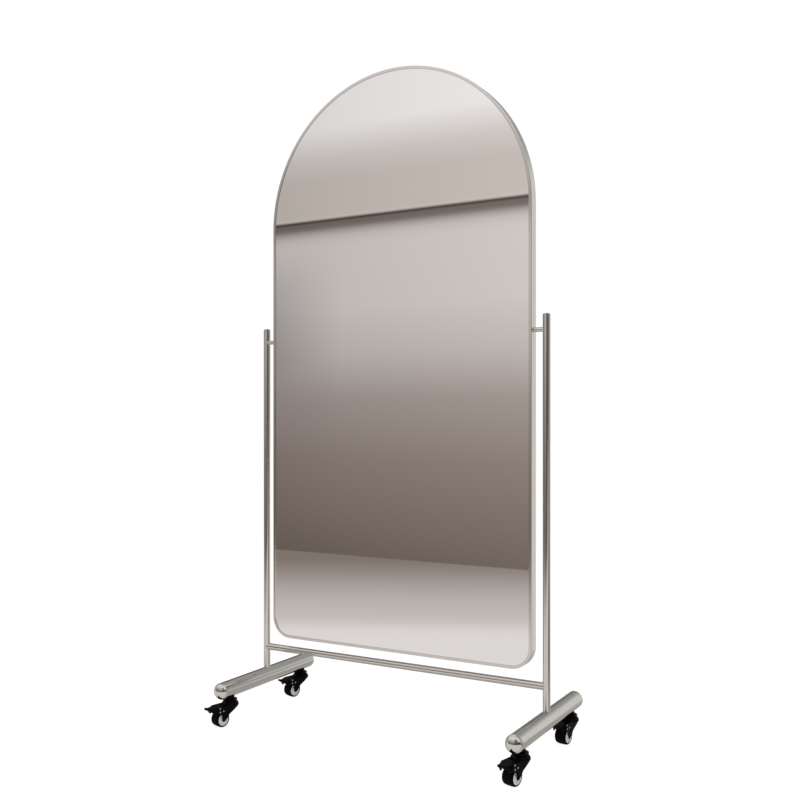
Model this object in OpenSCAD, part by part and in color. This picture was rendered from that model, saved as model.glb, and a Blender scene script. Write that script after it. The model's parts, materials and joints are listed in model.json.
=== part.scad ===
// Full-length arched mirror that tilts between two posts and rolls on four braked swivel casters.
// Millimetres, with +Z up and the glass facing -Y.
// The origin is on the floor under the middle of the tilt axis.

/* [Panel] */
// Width of the mirror panel over its frame
panel_w = 800; // [600:5:1000]
// Height of the mirror panel over its frame
panel_h = 1575; // [1400:5:1800]
// Radius of the frame's two lower corners
corner_r = 57; // [30:1:120]
// Depth of the frame, front to back
frame_depth = 30; // [29:1:40]
// Thickness of the frame's outer wall
frame_wall = 2; // [1.5:0.1:2.5]
// Width of the lip in front of the glass
lip_w = 8; // [6:0.5:14]
// Thickness of the lip in front of the glass
lip_t = 1.5; // [1:0.1:2]
// Thickness of the mirror glass
glass_t = 4; // [3:0.5:5]
// Gap between the edge of the glass and the frame's wall
glass_edge_gap = 1; // [0.5:0.1:2]
// Thickness of the foam tape behind the glass
tape_t = 0.5; // [0.3:0.1:1]
// Width of each strip of foam tape
tape_w = 20; // [10:1:40]
// Thickness of the back board
board_t = 3; // [2:0.5:4]
// Width of the frame's rear chamber, from the outer face
chamber_w = 16; // [14:0.5:24]
// Thickness of the chamber's inner walls
chamber_wall = 1.6; // [1.2:0.1:2]
// Hairline of the butt joint in the bottom of the frame
seam_gap = 0.3; // [0.2:0.1:0.8]
// Length of the bar inside the butt joint
joiner_l = 120; // [80:5:200]
// Clearance of the bar and the pivot blocks in the chamber
chamber_fit = 0.15; // [0.1:0.05:0.3]
// Diameter of the frame screws
screw_d = 3.2; // [2.5:0.1:4]
// Diameter of a frame screw's head
screw_head_d = 7; // [5.5:0.1:8]
// Height of a frame screw's head
screw_head_h = 1.8; // [1.2:0.1:2.5]
// Length of a frame screw under its head
screw_l = 9; // [6:0.5:12]

/* [Tilt pivot] */
// Height of the tilt pins above the panel's lower edge
pivot_rise = 852; // [750:1:950]
// Diameter of the tilt pins
pin_d = 12; // [10:0.5:13]
// Length of a tilt pin inside its bush
pin_seat = 11.7; // [8:0.1:11.8]
// Diameter of the pin's threaded shank in the frame
shank_d = 6; // [5:0.5:6]
// Length of the pin's threaded shank
shank_l = 14; // [10:0.5:14]
// Wall of the nylon pivot bush
bush_wall = 1; // [0.8:0.1:1.2]
// Height of each pivot block
block_h = 40; // [34:1:60]
// Radial clearance of everything that turns
run_fit = 0.05; // [0.02:0.01:0.1]
// Radial clearance of everything that is pushed together
push_fit = 0.05; // [0.02:0.01:0.1]

/* [Stand] */
// Gap between the panel and each post
side_gap = 24.5; // [15:0.5:40]
// Diameter of the posts
post_d = 19; // [19:0.5:25]
// Wall of the posts
post_wall = 1.2; // [1:0.1:1.4]
// Height of the post's tip above the tilt axis
post_over = 40.5; // [30:0.5:80]
// Rise of the post cap's dome
post_dome = 2.5; // [1.5:0.5:4]
// Height of the post cap's straight rim
post_rim = 1; // [0.5:0.5:3]
// Depth of the post cap's spigot
post_spigot = 12; // [8:1:20]
// Diameter of the cross rail
rail_d = 19; // [12:0.5:19]
// Wall of the cross rail
rail_wall = 1.2; // [1:0.1:2]
// Height of the cross rail's axis above the floor
rail_z = 182; // [160:1:220]
// Gap between the cross rail and the panel's lower edge
rail_gap = 26.5; // [15:0.5:60]

/* [Feet] */
// Diameter of the foot tubes
foot_d = 45; // [42:0.5:55]
// Wall of the foot tubes
foot_wall = 1.5; // [1.2:0.1:2.5]
// Length of the foot tubes without their caps
foot_l = 406; // [360:2:520]
// Radius of the crown of a foot cap
cap_crown_r = 25; // [24:0.5:26]
// Radius of the knuckle round a foot cap
cap_knuckle_r = 14; // [11:0.5:16]
// Depth of a foot cap's spigot
cap_spigot = 12; // [8:1:20]
// Wall of a foot cap's spigot
cap_wall = 2; // [1:0.1:3]
// Diameter of the bolt that holds a post to its foot
post_bolt_d = 8; // [6:0.5:8]
// Diameter of the post bolt's head
post_bolt_head_d = 13; // [11:0.5:13]
// Height of the post bolt's head
post_bolt_head_h = 8; // [5:0.5:9]
// Thickness of the saddle washer at its middle
saddle_t = 4.5; // [4:0.5:6]
// Diameter of the saddle washer
saddle_d = 18; // [16:0.5:20]
// Length of the threaded plug in the foot of a post
plug_l = 28; // [20:1:40]

/* [Casters] */
// Height from the floor to the underside of a foot tube
caster_h = 76.5; // [76:0.5:90]
// Distance of a caster's stem from the end of the foot tube
caster_inset = 36; // [30:1:60]
// Angle that the front left caster is turned, clockwise from above
heading_front_left = 16; // [-180:1:180]
// Angle that the front right caster is turned
heading_front_right = 15; // [-180:1:180]
// Angle that the rear left caster is turned
heading_rear_left = 17; // [-180:1:180]
// Angle that the rear right caster is turned
heading_rear_right = 10; // [-180:1:180]
// Distance of the axle from the stem's axis
caster_offset = 32; // [30:1:38]
// Diameter of the wheel over its tyre
wheel_d = 43; // [38:1:44]
// Width of the wheel
wheel_w = 32; // [28:1:34]
// Thickness of the tyre
tyre_t = 5; // [3:0.5:5]
// Radius of the tyre's shoulders
tyre_shoulder = 5; // [4:0.5:6]
// Gap between the wheel and each side of the fork
wheel_gap = 0.8; // [0.6:0.1:1.5]
// Depth of the dish in the hub's faces
hub_dish = 4; // [1:0.5:6]
// Width of the hub's outer ring
hub_ring = 3; // [2:0.5:4]
// Diameter of the hub's middle boss
hub_boss_d = 13; // [10:0.5:16]
// Gap between the hub's boss and the fork
boss_gap = 0.3; // [0.2:0.1:0.5]
// Diameter of the axle
axle_d = 6; // [4:0.5:7]
// Diameter of the axle's heads
axle_head_d = 8.5; // [8:0.5:10]
// Height of the axle's heads
axle_head_h = 1.6; // [1:0.1:2.5]
// Thickness of the fork's sides
fork_t = 2; // [1.5:0.1:2.5]
// Radius of the fork round the axle
fork_boss_r = 5.4; // [5:0.1:7]
// Diameter of the fork's head
head_d = 48; // [46:1:52]
// Diameter of the collar between fork and foot
collar_d = 24; // [18:0.5:28]
// Height of the collar below the foot tube
collar_h = 6; // [4:0.5:8]
// Diameter of the ball race cup
cup_d = 39; // [36:0.5:41]
// Thickness of the ball race cup
cup_t = 2; // [1.6:0.1:3]
// Depth of the cup's rim below its plate
cup_rim = 1.2; // [0.6:0.1:1.4]
// Gap between the cup and the head
race_gap = 1.6; // [1.2:0.1:2]
// Diameter of the race's balls
ball_d = 3.5; // [3:0.1:3.8]
// Diameter of the ring of balls
ball_ring_d = 25; // [22:0.5:26]
// Balls in each race
ball_count = 12; // [6:1:16]
// Diameter of the caster's stem
stem_d = 10; // [8:0.5:12]
// Diameter of the head that keeps the fork on the stem
stem_head_d = 17; // [14:0.5:18]
// Thickness of that head
stem_head_t = 2.5; // [1.5:0.1:3]
// Diameter of the weld nut in the foot tube
nut_d = 17; // [15:0.5:20]
// Height of the weld nut
nut_h = 10; // [6:0.5:12]

/* [Brakes] */
// Height of the pedal's pin above the tyre
pedal_pin_up = 3; // [3:0.5:5]
// Distance of the pedal's pin ahead of the axle
pedal_pin_ahead = 1.5; // [0:0.5:3]
// Reach of the pedal's tip ahead of its pin
pedal_reach = 48.5; // [46:0.5:55]
// Rise of the pedal's tip above its flat top
tip_rise = 3.5; // [2:0.1:6]
// Width of the pedal's beak at its tip
beak_w = 7; // [4:0.5:14]
// Height of the pedal's flat top above its pin
pedal_rise = 11; // [10:0.5:13]
// Thickness of the pedal's top and sides
pedal_skin = 2.4; // [1.5:0.1:3]
// Gap between the pedal and each side of the fork
pedal_gap = 0.6; // [0.4:0.1:1]
// Diameter of the pedal's pin and of the rivets
rivet_d = 3; // [2.5:0.1:3.4]
// Diameter of the heads of the pin and the rivets
rivet_head_d = 4.4; // [4:0.1:5]
// Height of the heads of the pin and the rivets
rivet_head_h = 0.9; // [0.5:0.1:1.5]
// Thickness of the steel brake plate
plate_t = 1.5; // [1:0.1:2]
// Width of the steel brake plate
plate_w = 21; // [16:0.5:23]
// Depth of the brake plate's lip
lip_drop = 4.5; // [3:0.5:4.5]

/* [Hidden] */
$fn = 96;
ARC_FN = 240;
BIG = 60;
STEP = 0.01;
SIDES = [-1, 1];
beak_steps = 8;

panel_r = panel_w / 2;
panel_z = rail_z + rail_d / 2 + rail_gap;
pivot_z = panel_z + pivot_rise;
spring_h = panel_h - panel_r;
glass_inset = frame_wall + glass_edge_gap;
front_y = -frame_depth / 2;
glass_y = front_y + lip_t;
tape_y = glass_y + glass_t;
board_y = tape_y + tape_t;
web_y = board_y + board_t;
chamber_y = web_y + chamber_wall;
flange_y = frame_depth / 2 - chamber_wall;
chamber_mid = (frame_wall + chamber_w - chamber_wall) / 2;
joiner_screw_x = [-0.4 * joiner_l, -0.15 * joiner_l, 0.15 * joiner_l, 0.4 * joiner_l];
block_screw_z = [-block_h / 2 + screw_head_d, block_h / 2 - screw_head_d];
tape_x = [-0.75 * panel_r, -0.25 * panel_r, 0.25 * panel_r, 0.75 * panel_r];
tape_z0 = corner_r + glass_inset;

post_r = post_d / 2;
post_bore_r = post_r - post_wall;
post_x = panel_r + side_gap + post_r;
post_tube_top = pivot_z + post_over - post_dome - post_rim;
dome_r = (post_r * post_r + post_dome * post_dome) / (2 * post_dome);
bush_r = pin_d / 2 + bush_wall;
bush_start = post_r - 0.2;
bush_end = sqrt(post_bore_r * post_bore_r - bush_r * bush_r) - 0.1;
bush_floor = 1.2;

foot_r = foot_d / 2;
foot_bore_r = foot_r - foot_wall;
foot_z = caster_h + foot_r;
swivel_y = foot_l / 2 - caster_inset;
cap_knuckle_x = foot_r - cap_knuckle_r;
cap_drop = sqrt(pow(cap_crown_r - cap_knuckle_r, 2) - cap_knuckle_x * cap_knuckle_x);
saddle_z = foot_z + foot_bore_r - saddle_t;
plug_z = foot_z + foot_r + 0.5;
access_r = post_bolt_head_d / 2 + 1;

axle_z = wheel_d / 2;
wheel_r = wheel_d / 2;
tyre_bore_r = wheel_r - tyre_t;
fork_in = wheel_w / 2 + wheel_gap;
fork_out = fork_in + fork_t;
cup_z = caster_h - collar_h - cup_t;
head_top = cup_z - race_gap;
head_h = 14.4;
head_z = head_top - head_h;
stem_seat = head_z + 5;
stem_top = foot_z - foot_bore_r + nut_h + 2;
ball_z = head_top + race_gap / 2;
groove_r = ball_d / 2 + run_fit;

pedal_pin_s = caster_offset + pedal_pin_ahead;
pedal_pin_z = axle_z + wheel_r + pedal_pin_up;
pedal_half = fork_in - pedal_gap;
pedal_top = pedal_pin_z + pedal_rise;
plate_z = pedal_pin_z - 1;
plate_front = pedal_pin_s + 14;
plate_back = pedal_pin_s + 3;
rivet_spots = [[pedal_pin_s + 11, pedal_pin_z - 1.4], [pedal_pin_s + 11.5, pedal_pin_z + 8.6]];
FRONT_HEADINGS = [heading_front_left, heading_front_right];
REAR_HEADINGS = [heading_rear_left, heading_rear_right];

STEEL = "silver";
POLISHED = "whitesmoke";
BLACK = "#1c1c1e";
ZINC = "gainsboro";

// Outline of the panel in X and Z, with its lower edge at Z = 0, drawn in by an inset on every side
module panel_outline(inset) {
    r = panel_r - inset;
    low_x = panel_r - corner_r;
    translate([0, spring_h]) circle(r, $fn = ARC_FN);
    translate([-r, corner_r]) square([2 * r, spring_h - corner_r]);
    translate([-low_x, inset]) square([2 * low_x, corner_r - inset + STEP]);
    for (side = SIDES) translate([side * low_x, corner_r]) circle(corner_r - inset);
}

// A flat slab of a 2D shape in X and Z, from one Y to another, standing on the panel's lower edge
module panel_slab(y0, y1) {
    translate([0, y1, panel_z]) rotate([90, 0, 0]) linear_extrude(y1 - y0) children();
}

// A round rod along X
module rod_x(r, x0, x1, y = 0, z = 0) {
    translate([min(x0, x1), y, z]) rotate([0, 90, 0]) cylinder(r = r, h = abs(x1 - x0));
}

// A round rod along Y
module rod_y(r, y0, y1, x = 0, z = 0) {
    translate([x, y1, z]) rotate([90, 0, 0]) cylinder(r = r, h = y1 - y0);
}

// Frame: lip, glass channel and hollow rear chamber, with a butt joint in the middle of the bottom
module mirror_frame() {
    seam = [seam_gap, 2 * frame_depth, chamber_w + 2];
    color(STEEL) difference() {
        panel_slab(front_y, frame_depth / 2) panel_outline(0);
        panel_slab(front_y - 1, glass_y + STEP) panel_outline(lip_w);
        panel_slab(glass_y, web_y) panel_outline(frame_wall);
        panel_slab(web_y - STEP, frame_depth) panel_outline(chamber_w);
        panel_slab(chamber_y, flange_y) difference() {
            panel_outline(frame_wall);
            panel_outline(chamber_w - chamber_wall);
        }
        translate([-seam_gap / 2, -frame_depth, panel_z - 1]) cube(seam);
        for (side = SIDES) {
            rod_x(shank_d / 2 + push_fit, side * (panel_r + 1), side * (panel_r - shank_l), 0, pivot_z);
        }
        frame_screw_spots() rod_y(screw_d / 2 + push_fit, flange_y - 1, frame_depth / 2 + 1);
    }
}

// Places of the frame screws, on the back of the frame
module frame_screw_spots() {
    for (side = SIDES) {
        for (dz = block_screw_z) translate([side * (panel_r - chamber_mid), 0, pivot_z + dz]) children();
    }
    for (x = joiner_screw_x) translate([x, 0, panel_z + chamber_mid]) children();
}

module frame_screws() {
    color(ZINC) frame_screw_spots() {
        rod_y(screw_d / 2, frame_depth / 2 - screw_l, frame_depth / 2);
        rod_y(screw_head_d / 2, frame_depth / 2, frame_depth / 2 + screw_head_h);
    }
}

// Size of the chamber's inside, less its clearance, across and front to back
chamber_in = chamber_w - chamber_wall - frame_wall - 2 * chamber_fit;
chamber_deep = flange_y - chamber_y - 2 * chamber_fit;

module frame_joiner() {
    color(ZINC) difference() {
        translate([-joiner_l / 2, chamber_y + chamber_fit, panel_z + frame_wall + chamber_fit])
            cube([joiner_l, chamber_deep, chamber_in]);
        frame_screw_spots() rod_y(screw_d / 2 + push_fit, chamber_y, frame_depth / 2);
    }
}

module pivot_block(side) {
    near = panel_r - frame_wall - chamber_fit;
    color(ZINC) difference() {
        translate([side > 0 ? near - chamber_in : -near, chamber_y + chamber_fit, pivot_z - block_h / 2])
            cube([chamber_in, chamber_deep, block_h]);
        rod_x(shank_d / 2 + push_fit, side * panel_r, side * (panel_r - chamber_w), 0, pivot_z);
        frame_screw_spots() rod_y(screw_d / 2 + push_fit, chamber_y, frame_depth / 2);
    }
}

module pivot_pin(side) {
    color(STEEL) {
        rod_x(shank_d / 2, side * (panel_r - shank_l), side * panel_r, 0, pivot_z);
        rod_x(pin_d / 2, side * panel_r, side * (post_x - bush_start + pin_seat), 0, pivot_z);
    }
}

module mirror_glass() {
    color("lightblue") panel_slab(glass_y, tape_y) panel_outline(glass_inset);
}

module glass_tape() {
    color("dimgray") for (x = tape_x) {
        translate([x - tape_w / 2, tape_y, panel_z + tape_z0]) cube([tape_w, tape_t, spring_h - tape_z0]);
    }
}

module back_board() {
    color("burlywood") panel_slab(board_y, web_y) panel_outline(glass_inset);
}

// Post: coped onto the foot tube, with a hole for the bush in the wall that faces the panel
module post(side) {
    x = side * post_x;
    color(STEEL) difference() {
        translate([x, 0, foot_z]) cylinder(r = post_r, h = post_tube_top - foot_z);
        translate([x, 0, foot_z - 1]) cylinder(r = post_bore_r, h = post_tube_top - foot_z + 2);
        rod_y(foot_r + push_fit, -BIG, BIG, x, foot_z);
        rod_x(bush_r + push_fit, side * (post_x - post_r - 1), x, 0, pivot_z);
    }
}

module post_cap(side) {
    translate([side * post_x, 0, post_tube_top]) color(POLISHED) {
        translate([0, 0, -post_spigot]) cylinder(r = post_bore_r - push_fit, h = post_spigot);
        cylinder(r = post_r, h = post_rim);
        translate([0, 0, post_rim]) intersection() {
            translate([0, 0, post_dome - dome_r]) sphere(dome_r);
            cylinder(r = post_r, h = post_dome);
        }
    }
}

module pivot_bush(side) {
    near = side * (post_x - bush_start);
    far = side * (post_x + bush_end);
    color("ivory") difference() {
        rod_x(bush_r, near, far, 0, pivot_z);
        rod_x(pin_d / 2 + run_fit, near - side, far - side * bush_floor, 0, pivot_z);
    }
}

module cross_rail() {
    color(STEEL) difference() {
        rod_x(rail_d / 2, -post_x, post_x, 0, rail_z);
        rod_x(rail_d / 2 - rail_wall, -post_x - 1, post_x + 1, 0, rail_z);
        at_posts() translate([0, 0, rail_z - BIG]) cylinder(r = post_r + push_fit, h = 2 * BIG);
    }
}

// Foot tube, with its holes for the post bolt, the bolt's head and the two stems
module foot_tube(side) {
    x = side * post_x;
    color(STEEL) difference() {
        rod_y(foot_r, -foot_l / 2, foot_l / 2, x, foot_z);
        rod_y(foot_bore_r, -foot_l / 2 - 1, foot_l / 2 + 1, x, foot_z);
        translate([x, 0, foot_z]) cylinder(r = post_bolt_d / 2 + push_fit, h = BIG);
        translate([x, 0, foot_z - BIG]) cylinder(r = access_r, h = BIG);
        for (end = SIDES) {
            translate([x, end * swivel_y, foot_z - BIG]) cylinder(r = stem_d / 2 + push_fit, h = BIG);
        }
    }
}

// Dished cap: a crown arc that runs into a knuckle arc, over a hollow spigot
module foot_cap(side, end) {
    spigot_r = foot_bore_r - push_fit;
    reach = 2 * cap_crown_r / (cap_crown_r - cap_knuckle_r);
    meet = [reach * cap_knuckle_x, (reach - 1) * cap_drop];
    translate([side * post_x, end * foot_l / 2, foot_z]) rotate([-end * 90, 0, 0]) color(POLISHED) {
        difference() {
            translate([0, 0, -cap_spigot]) cylinder(r = spigot_r, h = cap_spigot + STEP);
            translate([0, 0, -cap_spigot - 1]) cylinder(r = spigot_r - cap_wall, h = cap_spigot);
        }
        rotate_extrude() {
            intersection() {
                translate([0, -cap_drop]) circle(cap_crown_r);
                polygon([[0, 0], [0, 2 * cap_crown_r], meet, [cap_knuckle_x, 0]]);
            }
            intersection() {
                translate([cap_knuckle_x, 0]) circle(cap_knuckle_r);
                polygon([[cap_knuckle_x, 0], meet, [2 * foot_r, meet[1]], [2 * foot_r, 0]]);
            }
        }
    }
}

module at_posts() {
    for (side = SIDES) translate([side * post_x, 0, 0]) children();
}

module post_plugs() {
    color(ZINC) at_posts() difference() {
        translate([0, 0, plug_z]) cylinder(r = post_bore_r - push_fit, h = plug_l);
        translate([0, 0, plug_z - 1]) cylinder(r = post_bolt_d / 2 + push_fit, h = plug_l + 2);
    }
}

module post_bolts() {
    color(ZINC) at_posts() {
        translate([0, 0, saddle_z - post_bolt_head_h]) cylinder(d = post_bolt_head_d, h = post_bolt_head_h);
        translate([0, 0, saddle_z]) cylinder(d = post_bolt_d, h = plug_z + 0.8 * plug_l - saddle_z);
    }
}

module saddle_washers() {
    color(ZINC) at_posts() difference() {
        intersection() {
            translate([0, 0, saddle_z]) cylinder(d = saddle_d, h = saddle_t);
            rod_y(foot_bore_r - push_fit, -saddle_d, saddle_d, 0, foot_z);
        }
        translate([0, 0, saddle_z - 1]) cylinder(r = post_bolt_d / 2 + push_fit, h = saddle_t + 2);
    }
}

// Frame of one caster: its stem's axis is Z, it faces -Y before it is turned by its heading
module at_caster(side, end) {
    headings = end < 0 ? FRONT_HEADINGS : REAR_HEADINGS;
    turn = headings[side < 0 ? 0 : 1];
    translate([side * post_x, end * swivel_y, 0]) rotate([0, 0, -turn]) children();
}

module at_casters() {
    for (side = SIDES) for (end = SIDES) at_caster(side, end) children();
}

module at_stems() {
    at_posts() for (end = SIDES) translate([0, end * swivel_y, 0]) children();
}

module caster_weld_nuts() {
    color(ZINC) at_stems() difference() {
        intersection() {
            translate([0, 0, foot_z - foot_bore_r]) cylinder(d = nut_d, h = nut_h);
            rod_y(foot_bore_r - push_fit, -nut_d, nut_d, 0, foot_z);
        }
        translate([0, 0, foot_z - foot_r]) cylinder(r = stem_d / 2 + push_fit, h = foot_r);
    }
}

module caster_stems() {
    color(ZINC) at_casters() {
        translate([0, 0, stem_seat - boss_gap - stem_head_t]) cylinder(d = stem_head_d, h = stem_head_t);
        translate([0, 0, stem_seat - boss_gap]) cylinder(d = stem_d, h = stem_top - stem_seat + boss_gap);
    }
}

// Collar with its top coped to the underside of the foot tube
module caster_collars() {
    color(BLACK) at_stems() difference() {
        translate([0, 0, caster_h - collar_h]) cylinder(d = collar_d, h = collar_h + foot_wall + 3);
        rod_y(foot_r + push_fit, -collar_d, collar_d, 0, foot_z);
        translate([0, 0, caster_h - collar_h - 1]) cylinder(r = stem_d / 2 + push_fit, h = collar_h + BIG);
    }
}

module ball_groove() {
    translate([0, 0, ball_z]) rotate_extrude() translate([ball_ring_d / 2, 0]) circle(groove_r, $fn = 48);
}

module caster_race_cups() {
    color(BLACK) at_casters() difference() {
        translate([0, 0, cup_z - cup_rim]) cylinder(d = cup_d, h = cup_t + cup_rim);
        translate([0, 0, cup_z - cup_rim - 1]) cylinder(r = cup_d / 2 - cup_t, h = cup_rim + 1);
        translate([0, 0, cup_z - cup_rim]) cylinder(r = stem_d / 2 + push_fit, h = BIG);
        ball_groove();
    }
}

module swivel_balls() {
    color(ZINC) at_casters() for (i = [0 : ball_count - 1]) {
        turn = i * 360 / ball_count;
        rotate([0, 0, turn]) translate([ball_ring_d / 2, 0, ball_z]) sphere(d = ball_d, $fn = 32);
    }
}

// A plate in a caster's fork: its outline runs ahead of the stem and up, its width from one X to another
module fork_slab(x0, x1) {
    translate([x1, 0, 0]) rotate([90, 0, -90]) linear_extrude(x1 - x0) children();
}

// Outline of one side of the fork: head, raked back edge, boss at the axle and cheek beside the pedal
module fork_side_outline() {
    cheek_z = pedal_top + 0.7;
    polygon([
        [-15, head_z + 6], [-15, head_z + 0.5], [-2, head_z - 9],
        [caster_offset - 19, axle_z + 13], [caster_offset - 12.4, axle_z + 3.4],
        [caster_offset - 0.7 * fork_boss_r, axle_z - 0.7 * fork_boss_r], [caster_offset, axle_z],
        [caster_offset + fork_boss_r, axle_z], [caster_offset + fork_boss_r, axle_z + 13],
        [caster_offset + 19, axle_z + 19], [caster_offset + 22, pedal_pin_z],
        [caster_offset + 20, pedal_pin_z + 9], [caster_offset + 16, cheek_z], [15, head_z + 6]
    ]);
    translate([caster_offset, axle_z]) circle(fork_boss_r);
}

// The web that joins the two sides of the fork along their raked back edge
module fork_back_outline() {
    polygon([
        [-15, head_z + 3], [-15, head_z + 0.5], [-2, head_z - 9], [caster_offset - 24, axle_z + 15.6],
        [caster_offset - 23, axle_z + 17.8], [-0.6, head_z - 6.6], [-12, head_z + 1.6], [-12, head_z + 3]
    ]);
}

// Pressed fork: a domed head over the ball race, two raked sides and the web behind the wheel
module fork(side, end) {
    head_r = head_d / 2;
    at_caster(side, end) color(BLACK) difference() {
        union() {
            rotate_extrude() polygon([
                [0, head_z], [head_r - 1.5, head_z], [head_r, head_z + 2], [head_r, head_z + 5],
                [head_r - 0.7, head_z + 7.5], [head_r - 3.5, head_z + 11], [head_r - 7.5, head_top],
                [0, head_top]
            ]);
            for (x = [-fork_out, fork_in]) fork_slab(x, x + fork_t) fork_side_outline();
            fork_slab(-fork_in - STEP, fork_in + STEP) fork_back_outline();
        }
        translate([0, 0, head_z - 1]) cylinder(r = stem_head_d / 2 + 1.5, h = stem_seat - head_z + 1);
        translate([0, 0, head_z]) cylinder(r = stem_d / 2 + run_fit, h = BIG);
        ball_groove();
        rod_x(axle_d / 2 + push_fit, -BIG, BIG, -caster_offset, axle_z);
        rod_x(rivet_d / 2 + push_fit, -BIG, BIG, -pedal_pin_s, pedal_pin_z);
        for (spot = rivet_spots) rod_x(rivet_d / 2 + push_fit, -BIG, BIG, -spot[0], spot[1]);
    }
}

module axle(side, end) {
    head = [fork_out, fork_out + axle_head_h];
    at_caster(side, end) color(BLACK) {
        rod_x(axle_d / 2, -fork_out - STEP, fork_out + STEP, -caster_offset, axle_z);
        for (x = SIDES) rod_x(axle_head_d / 2, x * head[0], x * head[1], -caster_offset, axle_z);
    }
}

// The pedal's cross pin and the short rivets in both sides of the fork
module fork_pins(side, end) {
    head = [fork_out, fork_out + rivet_head_h];
    at_caster(side, end) color(ZINC) {
        rod_x(rivet_d / 2, -fork_out - STEP, fork_out + STEP, -pedal_pin_s, pedal_pin_z);
        for (x = SIDES) {
            rod_x(rivet_head_d / 2, x * head[0], x * head[1], -pedal_pin_s, pedal_pin_z);
            for (spot = rivet_spots) {
                rod_x(rivet_d / 2, x * fork_in, x * (fork_out + STEP), -spot[0], spot[1]);
                rod_x(rivet_head_d / 2, x * head[0], x * head[1], -spot[0], spot[1]);
            }
        }
    }
}

// Turns a profile of radius and width round the axle
module round_axle(side, end) {
    axle_spot = [0, -caster_offset, axle_z];
    at_caster(side, end) translate(axle_spot) rotate([0, 90, 0]) rotate_extrude() children();
}

module tyre(side, end) {
    straight = wheel_w / 2 - tyre_shoulder;
    color(BLACK) round_axle(side, end) intersection() {
        union() {
            translate([0, -straight]) square([wheel_r, 2 * straight]);
            translate([0, -wheel_w / 2]) square([wheel_r - tyre_shoulder, wheel_w]);
            for (y = SIDES) translate([wheel_r - tyre_shoulder, y * straight]) circle(tyre_shoulder);
        }
        translate([tyre_bore_r, -wheel_w]) square([tyre_t + 1, 2 * wheel_w]);
    }
}

// Hub: a ring under the tyre, a web between two dished faces and a boss that runs on the axle
module hub(side, end) {
    ring_r = tyre_bore_r - push_fit;
    ring_w = wheel_w / 2 - 0.8;
    web_w = ring_w - hub_dish;
    boss_w = fork_in - boss_gap;
    color("gainsboro") round_axle(side, end) difference() {
        union() {
            translate([ring_r - hub_ring, -ring_w]) square([hub_ring, 2 * ring_w]);
            translate([0, -web_w]) square([ring_r - STEP, 2 * web_w]);
            translate([0, -boss_w]) square([hub_boss_d / 2, 2 * boss_w]);
        }
        translate([-1, -wheel_w]) square([1 + axle_d / 2 + run_fit, 2 * wheel_w]);
    }
}

// Side of the pedal: ears round the pin, a skirt beside the wheel and the turned-up beak
module pedal_side_outline() {
    s = pedal_pin_s;
    z = pedal_pin_z;
    tip = s + pedal_reach;
    top = pedal_top;
    polygon([
        [s - 7, top], [s - 7, z + 6], [s - 4, z - 2.2], [s + 3, z - 2.2], [s + 7, z - 1.5],
        [s + 12, z - 1.5], [s + 15, z - 4], [s + 19, z - 7.5], [s + 21, z - 9], [s + 24, z - 9],
        [s + 29, z - 3.5], [s + 36, z + 3], [tip - 8, top - 3.5],
        [tip - 1.2, top + tip_rise - 6], [tip, top + tip_rise - 4.8], [tip, top + tip_rise - 0.8],
        [tip - 1, top + tip_rise], [tip - 4, top + tip_rise - 0.7], [tip - 13, top - 0.5],
        [s + 26, top - 1.4], [s + 14, top]
    ]);
}

// The space inside the pedal, below its top and between its sides
module pedal_hollow_outline() {
    s = pedal_pin_s;
    z = pedal_pin_z;
    tip = s + pedal_reach;
    roof = pedal_top - pedal_skin;
    polygon([
        [s - 8, roof], [s - 8, z - 12], [s + 29, z - 12], [tip - 13, roof - 5], [tip - 15, roof - 1.1],
        [s + 26, roof - 1.4], [s + 14, roof]
    ]);
}

// Plan of the pedal, drawn in by an inset: straight between the fork's sides, then curved in to a beak
module pedal_plan(inset) {
    half = pedal_half - inset;
    straight = 18;
    start = pedal_pin_s + straight;
    run = pedal_reach - straight - inset;
    drawn_in = beak_w / 2 - half;
    beak = [for (i = [0 : beak_steps]) [half + drawn_in * pow(i / beak_steps, 1.3), i / beak_steps]];
    polygon(concat(
        [[half, 9 - pedal_pin_s]],
        [for (p = beak) [p[0], -start - run * p[1]]],
        [for (i = [beak_steps : -1 : 0]) [-beak[i][0], -start - run * beak[i][1]]],
        [[-half, 9 - pedal_pin_s]]
    ));
}

// A block as wide as the brake plate, between the pedal's top and the plate
module pedal_rib() {
    translate([-plate_w / 2, -(pedal_pin_s + 11), plate_z + plate_t])
        cube([plate_w, 7, pedal_top - pedal_skin / 2 - plate_z - plate_t]);
}

module brake_pedal(side, end) {
    at_caster(side, end) color(BLACK) difference() {
        union() {
            difference() {
                intersection() {
                    fork_slab(-pedal_half, pedal_half) pedal_side_outline();
                    linear_extrude(3 * BIG) pedal_plan(0);
                }
                intersection() {
                    fork_slab(-pedal_half, pedal_half) pedal_hollow_outline();
                    linear_extrude(3 * BIG) pedal_plan(pedal_skin);
                }
            }
            pedal_rib();
        }
        rod_x(rivet_d / 2 + run_fit, -BIG, BIG, -pedal_pin_s, pedal_pin_z);
    }
}

// Zinc plate under the pedal, with the lip that presses on the tyre
module brake_plate(side, end) {
    plate_top = plate_z + plate_t;
    at_caster(side, end) color(ZINC) translate([-plate_w / 2, -plate_front, 0]) {
        translate([0, 0, plate_z]) cube([plate_w, plate_front - plate_back, plate_t]);
        translate([0, 0, plate_top - lip_drop]) cube([plate_w, plate_t, lip_drop]);
    }
}

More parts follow.
